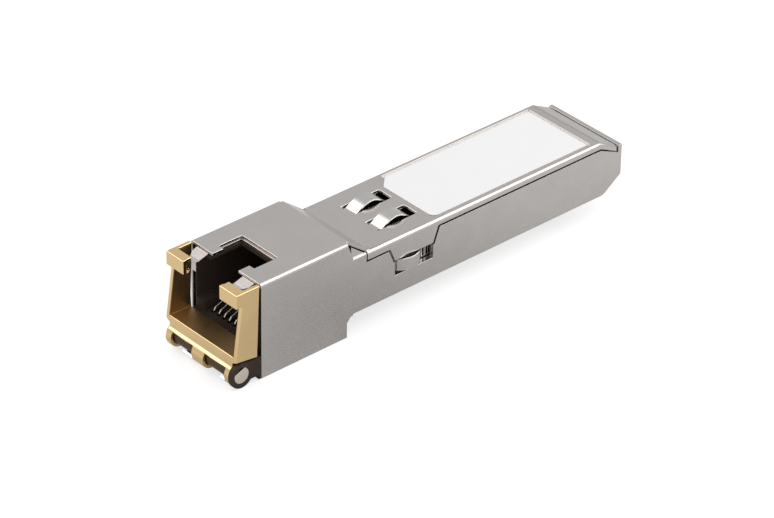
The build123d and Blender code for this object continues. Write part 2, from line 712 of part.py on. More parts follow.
def make_contact(x):
    """One spring contact: board tail, run along the floor, front bend and rising free end."""
    tail_height = BOARD_BOTTOM - CONTACT_RADIUS
    tip_y = CONTACT_FRONT
    route = [
        (BOARD_START + CONTACT_TAIL, tail_height),
        (BOARD_START - CONTACT_BEND / 2, tail_height),
        (BOARD_START - CONTACT_BEND, CONTACT_TRENCH),
        (tip_y + 0.25, CONTACT_TRENCH),
        (tip_y, CONTACT_TIP_HEIGHT - 0.4),
        (tip_y + 0.2, CONTACT_TIP_HEIGHT + 0.1),
        (tip_y + CONTACT_RUN, CONTACT_TIP_HEIGHT + CONTACT_RISE),
    ]
    return side_strip(route, 0.08, CONTACT_RADIUS * 2, x - CONTACT_RADIUS, x + CONTACT_RADIUS)


def make_contact_carrier():
    """Moulded bar behind the jack, with a groove for each contact."""
    floor = BELLY_STEP + FLOOR + SEAT
    end = BOARD_START - CONTACT_BEND - CARRIER_GAP
    bar = across(CARRIER_WIDTH / 2, JACK_BACK + SEAT, end, floor, floor + CARRIER_HEIGHT)
    for x in contact_places():
        groove = CONTACT_RADIUS + SEAT
        bar -= block(x - groove, x + groove, JACK_BACK - 1, BOARD_START, CONTACT_TRENCH - groove, BOARD_TOP)
    return bar


def make_jack_shield():
    """Inner steel shield round the jack, with two tabs that reach out in front of the head."""
    half = JACK_HALF + JACK_GAP + SHIELD_SHEET
    back = JACK_BACK + SEAT + SHIELD_SHEET
    outer = across(half, SHIELD_FRONT, back, JACK_BOTTOM + 1.0, SHIELD_TOP)
    hollow_half = JACK_HALF + JACK_GAP
    hollow = across(hollow_half, -1, JACK_BACK + SEAT, 0, SHIELD_TOP - SHIELD_SHEET)
    shield = outer - hollow
    shield -= across(SHIELD_CUTOUT / 2, -1, CUTOUT_END - 0.17, SHIELD_TOP - 1, SHIELD_TOP + 1)
    shield -= across(trench_width() / 2, JACK_BACK - 0.5, back + 1, 0, BOARD_TOP + 0.6)
    return shield + mirrored(make_shield_tab())


def make_shield_tab():
    """Tab of the shield: flat under the hood, then a step down, with a lip bent down at its end."""
    high = SHIELD_TOP - SHIELD_SHEET / 2
    route = [
        (SHIELD_FRONT + 0.3, high),
        (0, high),
        (-TAB_STEP_LENGTH, high - TAB_STEP),
        (-TAB_REACH, high - TAB_STEP),
    ]
    strip = side_strip(route, 0.15, SHIELD_SHEET, 0, HEAD_HALF)
    outline = flat_plate([
        (TAB_INNER, SHIELD_FRONT + 0.3),
        (TAB_INNER, -TAB_REACH),
        (TAB_TIP, -TAB_REACH),
        (TAB_OUTER, -TAB_REACH + 1.2),
        (TAB_OUTER, SHIELD_FRONT + 0.3),
    ], PORT_FLOOR, HEAD_HEIGHT)
    lip_high = high - TAB_STEP
    lip = block(TAB_INNER, TAB_INNER + TAB_LIP_WIDTH, -TAB_REACH, -TAB_REACH + SHIELD_SHEET,
                lip_high - TAB_BEND, lip_high)
    return (strip & outline) + lip


def trench_width():
    """Room in the shield's back for the contacts and the board."""
    return BOARD_WIDTH + 0.4


def make_circuit_board():
    tongue_start = BOARD_END - BOARD_TONGUE_LENGTH
    main = across(BOARD_WIDTH / 2, BOARD_START, tongue_start, BOARD_BOTTOM, BOARD_TOP)
    tongue = across(BOARD_TONGUE_WIDTH / 2, tongue_start - 1, BOARD_END, BOARD_BOTTOM, BOARD_TOP)
    return main + tongue


def make_edge_pads(low):
    """Gold pads of the edge connector on one face of the board, all alike."""
    pads = []
    end = BOARD_END - PAD_SETBACK
    for i in range(PAD_COUNT):
        x = (i - (PAD_COUNT - 1) / 2) * PAD_PITCH
        half = PAD_WIDTH / 2
        pads.append(block(x - half, x + half, end - PAD_LENGTH, end, low, low + PAD_THICKNESS))
    return Compound(children=pads)


def on_board(x, y, width, length, height):
    """A part soldered on the board's upper face, centred on (x, y)."""
    return block(x - width / 2, x + width / 2, y - length / 2, y + length / 2, BOARD_TOP, BOARD_TOP + height)


def make_thermal_pad():
    side = CHIP_SIDE - 0.8
    middle = CHIP_START + CHIP_SIDE / 2
    low = BOARD_TOP + CHIP_HEIGHT
    return across(side / 2, middle - side / 2, middle + side / 2, low, BODY_TOP - SHEET)


def make_magnetics(side):
    x = side * (MAGNETICS_WIDTH + MAGNETICS_GAP) / 2
    middle = MAGNETICS_START + MAGNETICS_LENGTH / 2
    return on_board(x, middle, MAGNETICS_WIDTH, MAGNETICS_LENGTH, MAGNETICS_HEIGHT)


def make_capacitors():
    """Small ceramic capacitors on the board, all alike."""
    places = []
    for side in (-1, 1):
        for i in range(CAPACITOR_ROW):
            places.append((side * CAPACITOR_OFFSET, CAPACITOR_START + i * CAPACITOR_STEP))
    return Compound(children=[on_board(x, y, *CAPACITOR_SIZE) for x, y in places])


def make_bail():
    """Bail of bent and plated sheet: two arms with hooks, a floor and three rolled knuckles."""
    floor_low = BAIL_FLOOR_TOP - BAIL_SHEET
    arm_inner = HEAD_HALF - BAIL_SHEET
    hook_low = BAIL_TOP - HOOK_DROP
    arm = side_plate([
        (-ARM_FRONT_TOP, hook_low),
        (-HOOK_FRONT, hook_low),
        (-HOOK_FRONT, BAIL_TOP),
        (-BAIL_REAR_GAP, BAIL_TOP),
        (-ARM_REAR_BOTTOM, floor_low - ARM_REAR_DROP),
        (-ARM_FRONT_BOTTOM, floor_low),
    ], arm_inner, HEAD_HALF)
    hook_back = HOOK_FRONT - BAIL_SHEET
    hook = block(HOOK_INNER, HEAD_HALF, -HOOK_FRONT, -hook_back, hook_low, BAIL_TOP)
    hook += block(HOOK_INNER + 0.1, HEAD_HALF, -HOOK_FRONT, -HOOK_FRONT + HOOK_FLANGE,
                  BAIL_TOP - BAIL_SHEET + 0.1, BAIL_TOP)
    dimple_height = BAIL_TOP - DIMPLE_DROP
    dimple = Pos(arm_inner + 0.05, from_front(-DIMPLE_SETBACK), dimple_height) * Sphere(DIMPLE_RADIUS)
    side = mirrored(arm + hook + dimple)
    floor = across(arm_inner + 0.1, -ARM_FRONT_BOTTOM, -ARM_REAR_BOTTOM, floor_low, BAIL_FLOOR_TOP)
    return side + floor + make_knuckles()


def make_knuckles():
    """Rolled front edge of the bail's floor, slotted into three knuckles round the pin."""
    half = LUG_INNER - KNUCKLE_SIDE_GAP
    ring = rod(-PIN_FORWARD, PIN_HEIGHT, KNUCKLE_RADIUS, -half, half)
    web_back = -ARM_FRONT_BOTTOM + BAIL_SHEET
    web = side_plate([
        (-ARM_FRONT_BOTTOM, BAIL_FLOOR_TOP),
        (web_back, BAIL_FLOOR_TOP),
        (web_back, PIN_HEIGHT),
        (-ARM_FRONT_BOTTOM, PIN_HEIGHT),
    ], -half, half)
    wing_low = BAIL_FLOOR_TOP - BAIL_SHEET
    wing = front_plate([
        (half - 0.1, BAIL_FLOOR_TOP),
        (HEAD_HALF, BAIL_FLOOR_TOP),
        (HEAD_HALF, wing_low),
        (half, wing_low - WEB_TAPER),
        (half - 0.1, wing_low - WEB_TAPER),
    ], -ARM_FRONT_BOTTOM, web_back)
    bore = rod(-PIN_FORWARD, PIN_HEIGHT, PIN_RADIUS + PIN_CLEARANCE, -half - 1, half + 1)
    mouth_top = BAIL_FLOOR_TOP - BAIL_SHEET
    mouth = across(half + 1, web_back, 0, PIN_HEIGHT + PIN_RADIUS * 0.75, mouth_top)
    knuckles = ring + web + mirrored(wing) - bore - mouth
    for x0, x1 in (NEAR_KNUCKLE_GAP, FAR_KNUCKLE_GAP):
        knuckles -= block(x0, x1, -REACH - 1, 0, -1, PIN_HEIGHT + KNUCKLE_SLOT_TOP)
    return knuckles


def make_bail_pin():
    """Pin across the head, flattened at both ends where the lugs hold it."""
    near = HEAD_HALF - 0.04
    far = LUG_INNER + FAR_LUG_WIDTH - 0.04
    pin = rod(-PIN_FORWARD, PIN_HEIGHT, PIN_RADIUS, -far, near)
    depth = PIN_RADIUS
    corner = Pos(0, from_front(-PIN_FORWARD), PIN_HEIGHT) * Rot(PIN_FLAT_ANGLE, 0, 0)
    height = PIN_RADIUS - PIN_FLAT + depth
    cut = corner * Pos(LUG_INNER + depth + SEAT, 0, height) * Box(2 * depth, 4 * depth, 2 * depth)
    return pin - mirrored(cut)


def make_rocker():
    """Latch rocker: forked front under the pin, pivot ears, and a tail with the latch boss."""
    tail_end = HEAD_LENGTH + ROCKER_TAIL_END
    tail_height = BELLY_STEP + 0.05 + ROCKER_SHEET / 2
    curl = PIN_HEIGHT - ROCKER_MIDDLE
    route = []
    for i in range(FORK_CURL_STEPS + 1):
        turn = math.radians(FORK_TIP_ANGLE * (1 - i / FORK_CURL_STEPS))
        route.append((-PIN_FORWARD - curl * math.sin(turn), PIN_HEIGHT - curl * math.cos(turn)))
    route += [
        (HEAD_LENGTH - 1.5, ROCKER_MIDDLE),
        (HEAD_LENGTH + 0.9, tail_height),
        (tail_end, tail_height),
    ]
    strip = side_strip(route, 0, ROCKER_SHEET, -ROCKER_HALF, ROCKER_HALF)
    gaps = [(-ROCKER_HALF - 1, FAR_PRONG[0]), (FAR_PRONG[1], NEAR_PRONG[0]), (NEAR_PRONG[1], ROCKER_HALF + 1)]
    for x0, x1 in gaps:
        strip -= block(x0, x1, -REACH - 1, FORK_ROOT, -1, HEAD_HEIGHT)
    tail_cut = block(ROCKER_TAIL_WIDTH / 2, ROCKER_HALF + 1, ROCKER_NECK, tail_end + 1, -1, BOARD_BOTTOM)
    strip -= mirrored(tail_cut)
    boss_low = BELLY_STEP - BOSS_HEIGHT
    boss_top = tail_height
    boss = side_plate([
        (BOSS_FACE, boss_top),
        (BOSS_FACE, boss_low),
        (BOSS_FACE + BOSS_LENGTH - BOSS_HEIGHT, boss_low),
        (BOSS_FACE + BOSS_LENGTH, boss_low + BOSS_HEIGHT),
        (BOSS_FACE + BOSS_LENGTH, boss_top),
    ], -BOSS_WIDTH / 2, BOSS_WIDTH / 2)
    ear = block(ROCKER_HALF - ROCKER_SHEET, ROCKER_HALF, ROCKER_PIVOT - EAR_LENGTH / 2,
                ROCKER_PIVOT + EAR_LENGTH / 2, ROCKER_MIDDLE, ROCKER_PIVOT_HEIGHT + EAR_ABOVE)
    hole_radius = ROCKER_PIN_RADIUS + ROCKER_PIN_CLEARANCE
    hole = rod(ROCKER_PIVOT, ROCKER_PIVOT_HEIGHT, hole_radius, -HEAD_HALF, HEAD_HALF)
    return strip + boss + (mirrored(ear) - hole)


def make_rocker_pin():
    half = HOUSING_HALF - SEAT
    return rod(ROCKER_PIVOT, ROCKER_PIVOT_HEIGHT, ROCKER_PIN_RADIUS, -half, half)


def make_rocker_spring():
    """Small coil spring between the rocker's tail and the housing's deck."""
    low = ROCKER_TOP + SPRING_WIRE / 2 + SEAT
    high = BELLY_STEP + SPRING_CUP - SPRING_WIRE / 2 - SEAT
    height = high - low
    path = Pos(0, from_front(SPRING_POSITION), low) * Helix(height / SPRING_TURNS, height, SPRING_RADIUS)
    section = Plane(origin=path @ 0, z_dir=path % 0) * Circle(SPRING_WIRE / 2)
    return sweep(section, path=path)


def make_all():
    """Every piece of the module by its name."""
    middle = CHIP_START + CHIP_SIDE / 2
    parts = {
        "lower_housing": make_lower_housing(),
        "top_cover": make_top_cover(),
        "label": make_label(),
        "ground_clip": make_ground_clip(),
        "jack_housing": make_jack_housing(),
        "jack_shield": make_jack_shield(),
        "contact_carrier": make_contact_carrier(),
        "circuit_board": make_circuit_board(),
        "edge_pads_top": make_edge_pads(BOARD_TOP),
        "edge_pads_bottom": make_edge_pads(BOARD_BOTTOM - PAD_THICKNESS),
        "interface_chip": on_board(0, middle, CHIP_SIDE, CHIP_SIDE, CHIP_HEIGHT),
        "thermal_pad": make_thermal_pad(),
        "magnetics_far": make_magnetics(-1),
        "magnetics_near": make_magnetics(1),
        "memory_chip": on_board(-MEMORY_OFFSET, MEMORY_MIDDLE, *MEMORY_SIZE),
        "crystal": on_board(CRYSTAL_OFFSET, CRYSTAL_MIDDLE, *CRYSTAL_SIZE),
        "power_inductor": on_board(INDUCTOR_OFFSET, INDUCTOR_MIDDLE, *INDUCTOR_SIZE),
        "voltage_regulator": on_board(-REGULATOR_OFFSET, REGULATOR_MIDDLE, *REGULATOR_SIZE),
        "ceramic_capacitors": make_capacitors(),
        "bail": make_bail(),
        "bail_pin": make_bail_pin(),
        "latch_rocker": make_rocker(),
        "rocker_pin": make_rocker_pin(),
        "rocker_spring": make_rocker_spring(),
    }
    for i, x in enumerate(contact_places()):
        parts[f"contact_{i + 1}"] = make_contact(x)
    return parts


os.makedirs("parts", exist_ok=True)
for name, part in make_all().items():
    export_step(part, f"parts/{name}.step")
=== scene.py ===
import math

import bmesh
import bpy
from mathutils import Matrix, Quaternion, Vector


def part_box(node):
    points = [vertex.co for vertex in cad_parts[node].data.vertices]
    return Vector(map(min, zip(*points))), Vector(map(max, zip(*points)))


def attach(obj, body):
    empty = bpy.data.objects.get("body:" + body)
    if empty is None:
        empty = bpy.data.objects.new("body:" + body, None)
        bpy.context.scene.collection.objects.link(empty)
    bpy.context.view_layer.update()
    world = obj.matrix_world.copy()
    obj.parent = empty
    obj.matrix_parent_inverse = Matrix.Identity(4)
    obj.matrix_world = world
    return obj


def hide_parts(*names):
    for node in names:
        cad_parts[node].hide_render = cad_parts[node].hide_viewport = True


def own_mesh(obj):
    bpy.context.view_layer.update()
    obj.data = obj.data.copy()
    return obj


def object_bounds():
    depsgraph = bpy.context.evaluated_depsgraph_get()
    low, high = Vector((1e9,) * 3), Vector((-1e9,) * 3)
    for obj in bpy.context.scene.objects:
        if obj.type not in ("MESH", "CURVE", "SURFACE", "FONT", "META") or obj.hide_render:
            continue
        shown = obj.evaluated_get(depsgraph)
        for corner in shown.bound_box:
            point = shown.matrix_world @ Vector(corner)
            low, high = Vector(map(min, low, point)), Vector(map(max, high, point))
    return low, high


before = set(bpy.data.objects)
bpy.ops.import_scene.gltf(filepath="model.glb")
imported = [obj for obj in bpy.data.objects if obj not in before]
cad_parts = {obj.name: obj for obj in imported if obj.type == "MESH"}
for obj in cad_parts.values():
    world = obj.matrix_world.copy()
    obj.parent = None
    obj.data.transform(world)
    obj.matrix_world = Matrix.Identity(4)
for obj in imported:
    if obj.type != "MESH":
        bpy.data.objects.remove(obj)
cad_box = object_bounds()

MM = 0.001
WELD = 0.002 * MM
FLAT_ANGLE = math.radians(0.5)
SHARP_ANGLE = math.radians(28)
SMOOTH_ANGLE = math.radians(35)
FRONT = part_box("top_cover")[0].y

# Rounded edges, with widths in millimetres where the pieces are made
EDGE_SEGMENTS = 2
EDGE_SEGMENTS_FINE = 3
EDGE_FACE_WEIGHT = 100

# Planes that split the flat faces, so that none of them runs round a hole
SPLITS = (("x", -2.4), ("x", 2.4), ("y", 7.0), ("y", 28.9), ("y", 57.6), ("z", 1.85), ("z", 7.15))

# Camera, in millimetres and degrees
CAMERA_AZIMUTH = 47.979
CAMERA_ELEVATION = 32.827
CAMERA_ROLL = 0.915
CAMERA_DISTANCE = 503.6
CAMERA_TARGET = (4.423, 22.892, 7.0)
CAMERA_LENS = 184.4
CAMERA_SENSOR = 36.0
CAMERA_CLIP = (0.01, 10.0)

# Light, with different levels for what the camera sees and for what lights or mirrors in the object
WHITE = (1, 1, 1, 1)
WORLD_LEVEL = 0.60
WORLD_LEVEL_SEEN = 1.0
BACK_LIGHT = {"towards": (0.42, 0.56, 0.71), "distance": 260, "size": 230, "watts": 0.27}
LEFT_LIGHT = {"towards": (-0.62, -0.40, 0.66), "distance": 260, "size": 190, "watts": 0.17}
FLOOR_SIZE = 1600
FLOOR_DROP = 0.02
FLOOR_DIFFUSE = 0.5
FLOOR_GLOW_SEEN = 0.68
FLOOR_GLOW_MIRRORED = (0.03, 0.22)
FLOOR_SHADE_PLACE = (16, 18, 0)
FLOOR_SHADE_REACH = 36

# How close a face has to be to a given place, and how straight it has to face an axis
PLACE_SLACK = 0.05
STRAIGHT = 0.9

# Half length of the bail pin's middle stretch, coloured dark as painted shade, up to the lugs
SHAFT_HALF = 6.15

# Faces inside the bail's loop, which get painted shade: its floor, with the front edge before LOOP_FRONT,
# and its two arms
LOOP_FLOOR = 4.65
LOOP_HALF = 6.25
LOOP_FRONT = -4.05

# Ledges of the housing in the seam under the cover, which get painted shade: their place, then how their
# normals rise and lean
SEAM_HALF = 6.485
SEAM_LOW = 7.5
SEAM_HIGH = 10.3
SEAM_RISE = 0.3
SEAM_LEAN = 0.1

# Part of the cover's front rim that gets painted shade, behind the bail's near arm
RIM_INNER = 6.4
RIM_PAINTED_SHADE_TOP = 13.4

# Contact wires, from the contact's place in the jack
WIRE_RADIUS = 0.13
WIRE_SIDES = 14
WIRE_PITCH = 1.02
WIRE_COUNT = 8
WIRE_BEND = 0.25
WIRE_PATH = (
    (16.6, 4.88),
    (14.65, 4.88),
    (14.25, 3.9),
    (1.25, 3.9),
    (1.0, 4.5),
    (1.3, 4.95),
    (7.6, 7.42),
)

# Coil under the rocker's tail
COIL_PLACE = 11.3
COIL_RADIUS = 0.8
COIL_WIRE = 0.1
COIL_WIRE_SIDES = 10
COIL_TURNS = 3
COIL_TURN_STEPS = 26

# Arcs and ends of wires: steps of an arc, longest share of a leg that an arc takes, height of the dome
ARC_STEPS = 5
ARC_SHARE = 0.48
DOME = 0.45


def at(x, y, z):
    """A point in metres from millimetres, with y measured from the head's front plane."""
    return Vector((x * MM, FRONT + y * MM, z * MM))


def from_front(point):
    """A point in millimetres, with y measured from the head's front plane."""
    return (point - at(0, 0, 0)) / MM


def make_object(name, bm, material):
    mesh = bpy.data.meshes.new(name)
    bm.to_mesh(mesh)
    bm.free()
    piece = bpy.data.objects.new(name, mesh)
    bpy.context.scene.collection.objects.link(piece)
    mesh.materials.append(material)
    return piece


def smooth(piece):
    """Smooth shading, apart from the edges where faces meet at more than SMOOTH_ANGLE."""
    mesh = piece.data
    mesh.polygons.foreach_set("use_smooth", [True] * len(mesh.polygons))
    mesh.set_sharp_from_angle(angle=SMOOTH_ANGLE)


def round_edges(piece, width, segments):
    bevel = piece.modifiers.new("edges", "BEVEL")
    bevel.width = width * MM
    bevel.segments = segments
    bevel.limit_method = "ANGLE"
    bevel.angle_limit = SHARP_ANGLE
    bevel.use_clamp_overlap = False
    bevel.harden_normals = True
    bevel.miter_outer = "MITER_ARC"
    even = piece.modifiers.new("even_normals", "WEIGHTED_NORMAL")
    even.keep_sharp = True
    even.weight = EDGE_FACE_WEIGHT


def settle(piece, body, node):
    """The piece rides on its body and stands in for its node."""
    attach(piece, body)
    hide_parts(node)


def cut(bm, axis, value, faces=None):
    """Cuts the faces, or the whole mesh, where the axis has the value. Returns what lies in the cut."""
    if faces is None:
        geometry = bm.verts[:] + bm.edges[:] + bm.faces[:]
    else:
        edges = dict.fromkeys(edge for face in faces for edge in face.edges)
        verts = dict.fromkeys(vert for face in faces for vert in face.verts)
        geometry = [*faces, *edges, *verts]
    place = at(*(value if axis == letter else 0 for letter in "xyz"))
    normal = Vector([float(axis == letter) for letter in "xyz"])
    made = bmesh.ops.bisect_plane(bm, geom=geometry, dist=WELD, plane_co=place, plane_no=normal)
    return made["geom_cut"]


def split_faces(bm):
    """Cuts along the planes in SPLITS, kept as seams."""
    for axis, value in SPLITS:
        for item in cut(bm, axis, value):
            if isinstance(item, bmesh.types.BMEdge):
                item.seam = True


def slant_floor(bm):
    """The floor's front edge follows the slant of the bail's arms, with no thin ledge at their feet."""
    for side in (-1, 1):
        cut(bm, "x", side * LOOP_HALF)
    level = [vert for vert in bm.verts if abs(from_front(vert.co).z - LOOP_FLOOR) < PLACE_SLACK]
    front = [vert for vert in level if from_front(vert.co).y < LOOP_FRONT]
    foot = min(vert.co.y for vert in level if vert not in front)
    for vert in front:
        vert.co.y = foot
    bmesh.ops.remove_doubles(bm, verts=bm.verts, dist=WELD)


def dressed(node, body, material, width, segments=EDGE_SEGMENTS, prepare=None):
    """The node's own shape with welded corners, whole flat faces and rounded edges."""
    bm = bmesh.new()
    bm.from_mesh(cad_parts[node].data)
    bmesh.ops.remove_doubles(bm, verts=bm.verts, dist=WELD)
    if prepare:
        prepare(bm)
    split_faces(bm)
    bmesh.ops.dissolve_limit(bm, angle_limit=FLAT_ANGLE, verts=bm.verts, edges=bm.edges, delimit={"SEAM"})
    bmesh.ops.recalc_face_normals(bm, faces=bm.faces)
    piece = make_object(node + "_finished", bm, material)
    smooth(piece)
    round_edges(piece, width, segments)
    settle(piece, body, node)
    return piece


def cut_piece(piece, axis, value, chosen):
    """Cuts the piece's chosen faces where the axis has the value."""
    bm = bmesh.new()
    bm.from_mesh(piece.data)
    faces = [face for face in bm.faces if chosen(from_front(face.calc_center_median()), face.normal)]
    cut(bm, axis, value, faces)
    bm.to_mesh(piece.data)
    bm.free()


def recolour(piece, material, chosen):
    """The piece's chosen faces get a second material."""
    for face in piece.data.polygons:
        if chosen(from_front(face.center), face.normal):
            face.material_index = 1
    piece.data.materials.append(material)


def anywhere(centre, normal):
    """Every face of a piece."""
    return True


def shaded_shaft(centre, normal):
    """The pin's middle stretch, between its light ends, which gets painted shade."""
    return abs(centre.x) < SHAFT_HALF


def shaded_loop(centre, normal):
    """The bail's floor and the inner faces of its arms, which get painted shade."""
    on_floor = normal.z > STRAIGHT and abs(centre.z - LOOP_FLOOR) < PLACE_SLACK
    inward = normal.x * centre.x < 0 and abs(normal.x) > STRAIGHT
    return on_floor or (inward and abs(abs(centre.x) - LOOP_HALF) < PLACE_SLACK)


def shaded_seam(centre, normal):
    """The housing's ledges under the edges of the cover's flanges and tongues, which get painted shade."""
    on_ledge = SEAM_LOW < centre.z < SEAM_HIGH and abs(abs(centre.x) - SEAM_HALF) < PLACE_SLACK
    return on_ledge and normal.z > SEAM_RISE and abs(normal.x) < SEAM_LEAN


def on_front(centre, normal):
    """The cover's front rim."""
    return normal.y < -STRAIGHT and abs(centre.y) < PLACE_SLACK


def shaded_near_rim(centre, normal):
    """The part of the front rim behind the bail's near arm, which gets painted shade."""
    return on_front(centre, normal) and centre.x > RIM_INNER and centre.z < RIM_PAINTED_SHADE_TOP


def add(tree, kind, **settings):
    node = tree.nodes.new(kind)
    for key, value in settings.items():
        setattr(node, key, value)
    return node


def millimetre_space(tree, stretch=(1, 1, 1)):
    """Object coordinates in millimetres, stretched along the axes."""
    coords = add(tree, "ShaderNodeTexCoord")
    mapping = add(tree, "ShaderNodeMapping")
    mapping.inputs["Scale"].default_value = [s / MM for s in stretch]
    tree.links.new(coords.outputs["Object"], mapping.inputs["Vector"])
    return mapping.outputs["Vector"]


def noise(tree, space, scale, detail=4.0, roughness=0.5):
    """A cloudy factor with most of its values between 0.3 and 0.7."""
    texture = add(tree, "ShaderNodeTexNoise")
    texture.inputs["Scale"].default_value = scale
    texture.inputs["Detail"].default_value = detail
    texture.inputs["Roughness"].default_value = roughness
    tree.links.new(space, texture.inputs["Vector"])
    return texture.outputs["Fac"]


def spread(tree, value, low, high, start=0.3, end=0.7):
    """The factor's range from start to end becomes the range from low to high."""
    remap = add(tree, "ShaderNodeMapRange")
    remap.inputs["From Min"].default_value = start
    remap.inputs["From Max"].default_value = end
    remap.inputs["To Min"].default_value = low
    remap.inputs["To Max"].default_value = high
    tree.links.new(value, remap.inputs["Value"])
    return remap.outputs["Result"]


def tinted(tree, factor, dark, light):
    mix = add(tree, "ShaderNodeMix", data_type="RGBA")
    mix.inputs["A"].default_value = (*dark, 1)
    mix.inputs["B"].default_value = (*light, 1)
    tree.links.new(factor, mix.inputs["Factor"])
    return mix.outputs["Result"]


def scaled(colour, share):
    return tuple(min(channel * share, 1.0) for channel in colour)


def blank_material(name):
    material = bpy.data.materials.new(name)
    material.use_nodes = True
    tree = material.node_tree
    return material, tree, tree.nodes["Principled BSDF"]


def surface(name, colour, metallic, roughness, tone=0.04, rough_spread=0.06, grain=6.0, relief=0.002,
            stretch=(1, 1, 1), patch=0.3, coat=0.0, specular=0.5):
    """A surface with soft patches of tone, and a fine grain in its roughness and relief."""
    material, tree, shader = blank_material(name)
    even = millimetre_space(tree)
    along = millimetre_space(tree, stretch)
    patches = spread(tree, noise(tree, even, patch), low=0.0, high=1.0)
    fine = noise(tree, along, grain, roughness=0.6)
    colour_out = tinted(tree, patches, scaled(colour, 1 - tone), scaled(colour, 1 + tone))
    tree.links.new(colour_out, shader.inputs["Base Color"])
    rough_out = spread(tree, fine, roughness - rough_spread, roughness + rough_spread)
    tree.links.new(rough_out, shader.inputs["Roughness"])
    bump = add(tree, "ShaderNodeBump")
    bump.inputs["Strength"].default_value = 1.0
    bump.inputs["Distance"].default_value = relief * MM
    tree.links.new(fine, bump.inputs["Height"])
    tree.links.new(bump.outputs["Normal"], shader.inputs["Normal"])
    shader.inputs["Metallic"].default_value = metallic
    shader.inputs["Coat Weight"].default_value = coat
    shader.inputs["Specular IOR Level"].default_value = specular
    return material


nickel_sheet = surface("nickel_sheet", (0.675, 0.64, 0.615), 1.0, 0.27, tone=0.02, grain=5.0, relief=0.0012,
                       stretch=(3.0, 0.6, 3.0))
nickel_casting = surface("nickel_casting", (0.66, 0.63, 0.605), 1.0, 0.31, tone=0.03, grain=7.0,
                         relief=0.0025)
spring_steel = surface("spring_steel", (0.70, 0.68, 0.66), 1.0, 0.22, tone=0.03, grain=8.0, relief=0.001,
                       stretch=(2.5, 0.5, 2.5))
shield_steel = surface("shield_steel", (0.78, 0.72, 0.68), 1.0, 0.26, tone=0.04, grain=6.0, relief=0.001)
pin_steel = surface("pin_steel", (0.92, 0.80, 0.71), 1.0, 0.27, tone=0.05, grain=9.0, relief=0.002)
bail_gold = surface("bail_gold", (0.97, 0.71, 0.37), 1.0, 0.15, tone=0.03, rough_spread=0.03, grain=6.0,
                    relief=0.0003)
# Painted shade: a darker, rougher gold for the floor and inner arm faces of the bail's loop
bail_inside_painted_shade = surface("bail_inside_painted_shade", (0.45, 0.29, 0.13), 1.0, 0.42, tone=0.05, grain=6.0, relief=0.0006)
contact_gold = surface("contact_gold", (0.86, 0.82, 0.74), 1.0, 0.16, tone=0.04, grain=10.0, relief=0.0005)
black_moulding = surface("black_moulding", (0.055, 0.040, 0.032), 0.0, 0.42, tone=0.2, grain=9.0,
                         relief=0.004, specular=0.12)
label_white = surface("label_white", (0.93, 0.93, 0.93), 0.0, 0.38, tone=0.006, grain=9.0, relief=0.001)
board_green = surface("board_green", (0.02, 0.13, 0.05), 0.0, 0.25, tone=0.25, grain=5.0, relief=0.004,
                      patch=0.8, coat=0.3)
chip_black = surface("chip_black", (0.022, 0.022, 0.024), 0.0, 0.5, tone=0.2, grain=12.0, relief=0.005)
pad_grey = surface("pad_grey", (0.32, 0.34, 0.37), 0.0, 0.6, tone=0.06, grain=6.0, relief=0.01)
ceramic_tan = surface("ceramic_tan", (0.42, 0.31, 0.19), 0.0, 0.45, tone=0.1, grain=10.0, relief=0.003)
# Painted shade: dark brown for the middle of the bail pin, which lies in shade inside the knuckles
shaft_painted_shade = surface("shaft_painted_shade", (0.13, 0.085, 0.06), 1.0, 0.3, tone=0.1, grain=9.0, relief=0.002)
# Painted shade: near black for the seam ledges and the near front rim, where the gaps lie in shade
seam_painted_shade = surface("seam_painted_shade", (0.02, 0.018, 0.016), 0.0, 0.6, tone=0.1, relief=0.001, specular=0.1)
tinned_copper = surface("tinned_copper", (0.70, 0.70, 0.69), 1.0, 0.3, tone=0.05, grain=9.0, relief=0.002)


# Shell
housing = dressed("lower_housing", "shell", nickel_casting, width=0.06)
# Painted shade on the ledges in the seam under the cover
recolour(housing, seam_painted_shade, shaded_seam)
cover = dressed("top_cover", "shell", nickel_sheet, width=0.09, segments=EDGE_SEGMENTS_FINE)
# The cover's front rim behind the bail's near arm gets painted shade, up to a given height
cut_piece(cover, "z", RIM_PAINTED_SHADE_TOP, on_front)
recolour(cover, seam_painted_shade, shaded_near_rim)
dressed("label", "shell", label_white, width=0.025)
dressed("ground_clip", "shell", spring_steel, width=0.03)
dressed("jack_housing", "shell", black_moulding, width=0.045)
dressed("jack_shield", "shell", shield_steel, width=0.04)
dressed("contact_carrier", "shell", black_moulding, width=0.05)
pin = dressed("bail_pin", "shell", pin_steel, width=0.07)
for side in (-1, 1):
    cut_piece(pin, "x", side * SHAFT_HALF, anywhere)
# Painted shade on the pin's middle stretch, between its light ends
recolour(pin, shaft_painted_shade, shaded_shaft)
dressed("rocker_pin", "shell", pin_steel, width=0.05)

# Board and its parts
dressed("circuit_board", "shell", board_green, width=0.03)
dressed("edge_pads_top", "shell", contact_gold, width=0.015)
dressed("edge_pads_bottom", "shell", contact_gold, width=0.015)
dressed("interface_chip", "shell", chip_black, width=0.08)
dressed("thermal_pad", "shell", pad_grey, width=0.12)
dressed("magnetics_far", "shell", chip_black, width=0.12)
dressed("magnetics_near", "shell", chip_black, width=0.12)
dressed("memory_chip", "shell", chip_black, width=0.08)
dressed("crystal", "shell", tinned_copper, width=0.12)
dressed("power_inductor", "shell", chip_black, width=0.3, segments=EDGE_SEGMENTS_FINE)
dressed("voltage_regulator", "shell", chip_black, width=0.06)
dressed("ceramic_capacitors", "shell", ceramic_tan, width=0.05)

# Moving pieces
bail = dressed("bail", "bail_body", bail_gold, width=0.11, segments=EDGE_SEGMENTS_FINE,
               prepare=slant_floor)
# Painted shade inside the bail's loop
recolour(bail, bail_inside_painted_shade, shaded_loop)
dressed("latch_rocker", "rocker_body", spring_steel, width=0.05)


